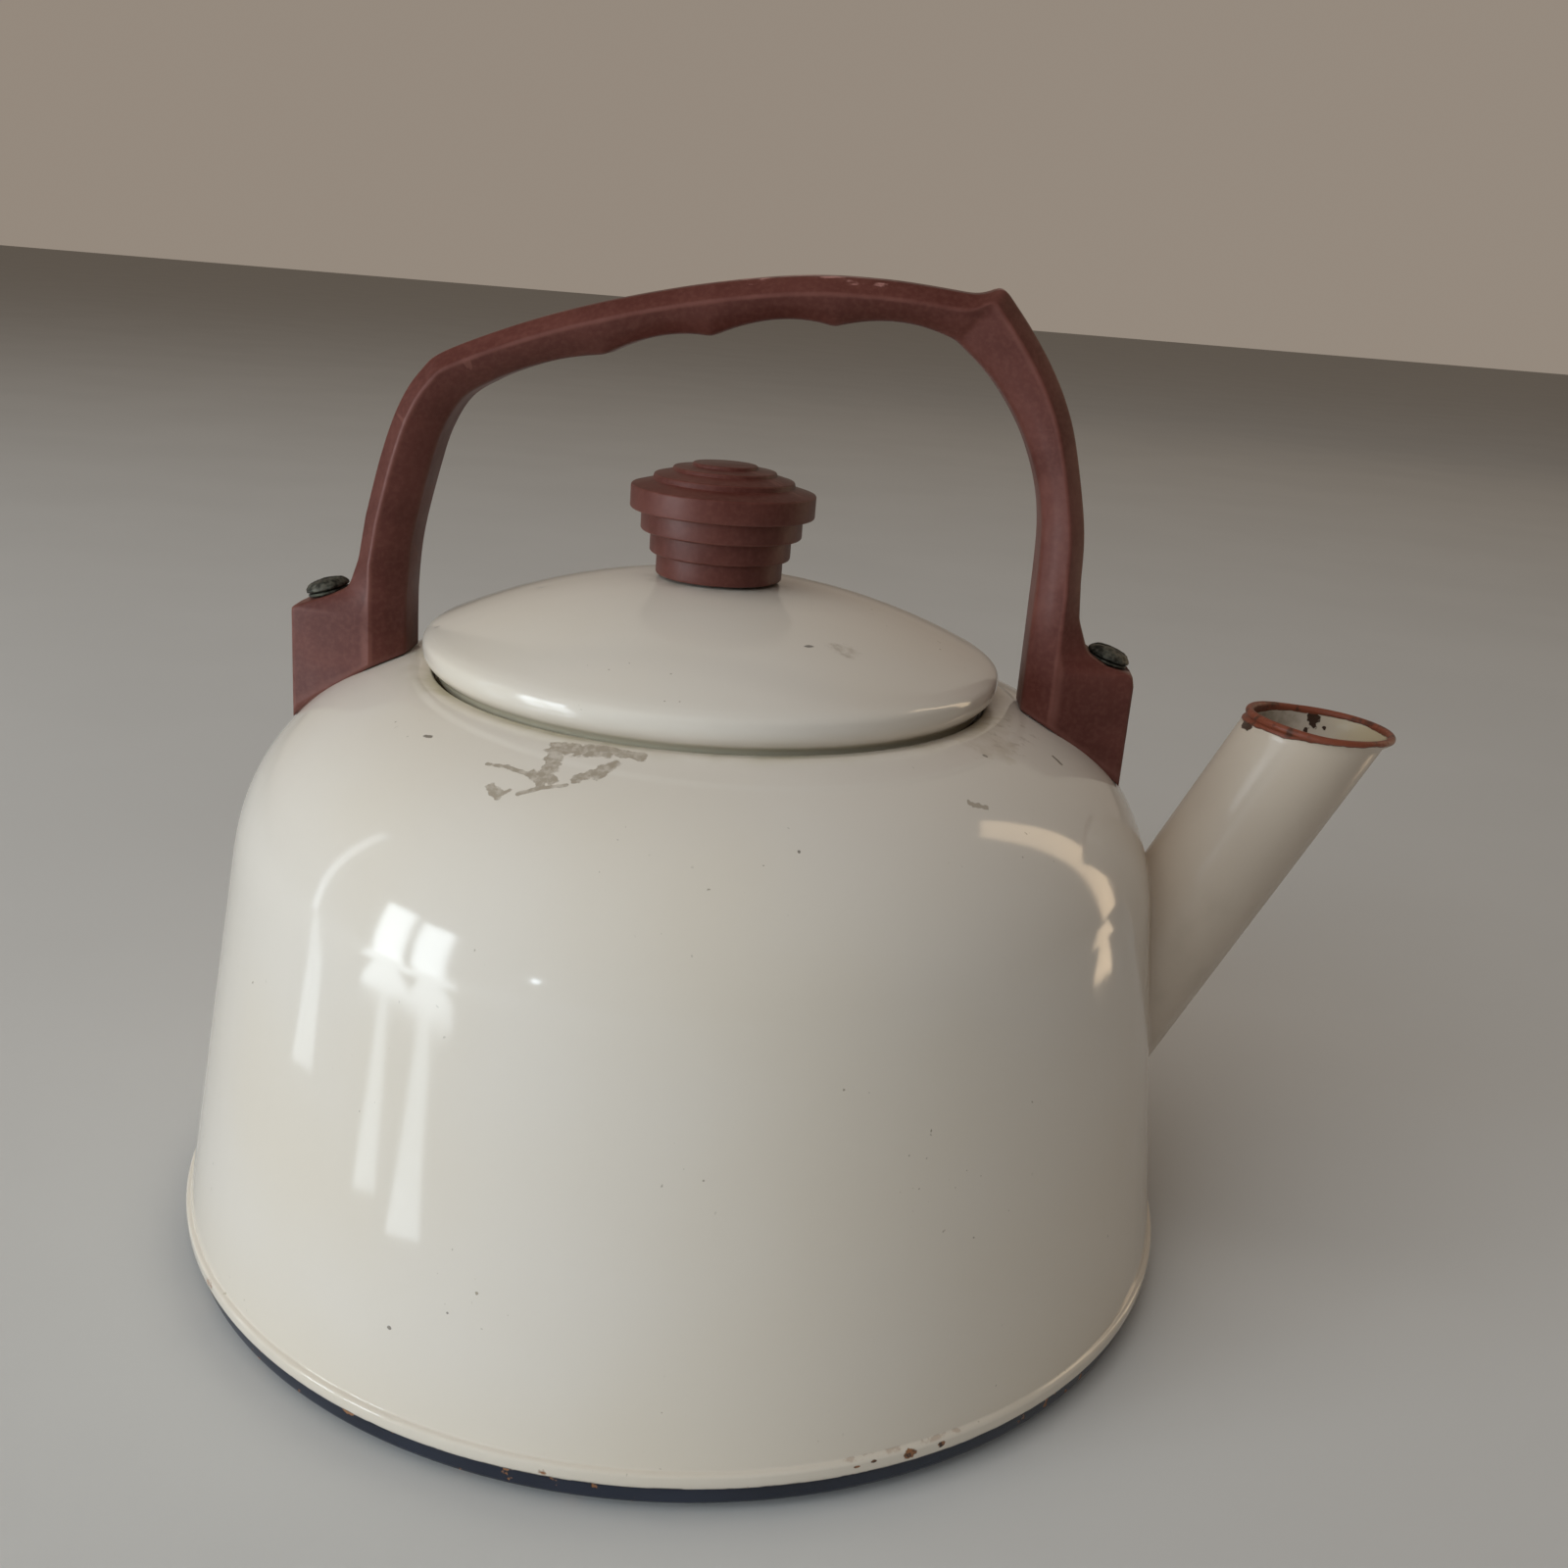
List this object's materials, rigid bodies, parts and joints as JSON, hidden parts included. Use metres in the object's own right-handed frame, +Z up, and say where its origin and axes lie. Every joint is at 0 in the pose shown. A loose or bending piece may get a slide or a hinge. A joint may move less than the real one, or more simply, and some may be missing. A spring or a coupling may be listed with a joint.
{
  "type": "tea kettle",
  "caption": "Enamelled stove-top tea kettle with a tapered body, straight steep spout, bridge handle with finger grooves and a lift-off domed lid with a stepped knob.",
  "frame": {"origin": "centre of the base pan's flat underside, on the table", "axes": "+Z up, +X towards the spout; the handle and the spout lie in the XZ plane"},
  "size_m": [0.2556, 0.22, 0.2072],
  "materials": {
    "enamel_cream": "glossy vitreous enamel on sheet steel",
    "enamel_navy": "glossy dark blue-black vitreous enamel",
    "phenolic": "satin red-brown phenolic moulding",
    "steel": "dull tarnished steel",
    "brass": "turned brass",
    "fibre": "pressed fibre"
  },
  "bodies": {
    "kettle": {"body_shell": "enamel_cream", "base_pan": "enamel_navy", "spout": "enamel_cream", "handle": "phenolic", "handle_washer_rear": "steel", "handle_screw_rear": "steel", "handle_boss_rear": "steel", "handle_washer_spout_side": "steel", "handle_screw_spout_side": "steel", "handle_boss_spout_side": "steel"},
    "lid": {"lid_shell": "enamel_cream", "lid_collar": "enamel_cream", "knob": "phenolic", "knob_insert": "brass", "knob_fibre_washer": "fibre", "knob_washer": "steel", "knob_screw": "steel"}
  },
  "joints": [
    {"name": "lid_lift", "type": "slide", "parent": "kettle", "child": "lid", "axis": [0, 0, 1], "range_m": [0, 0.02]}
  ]
}
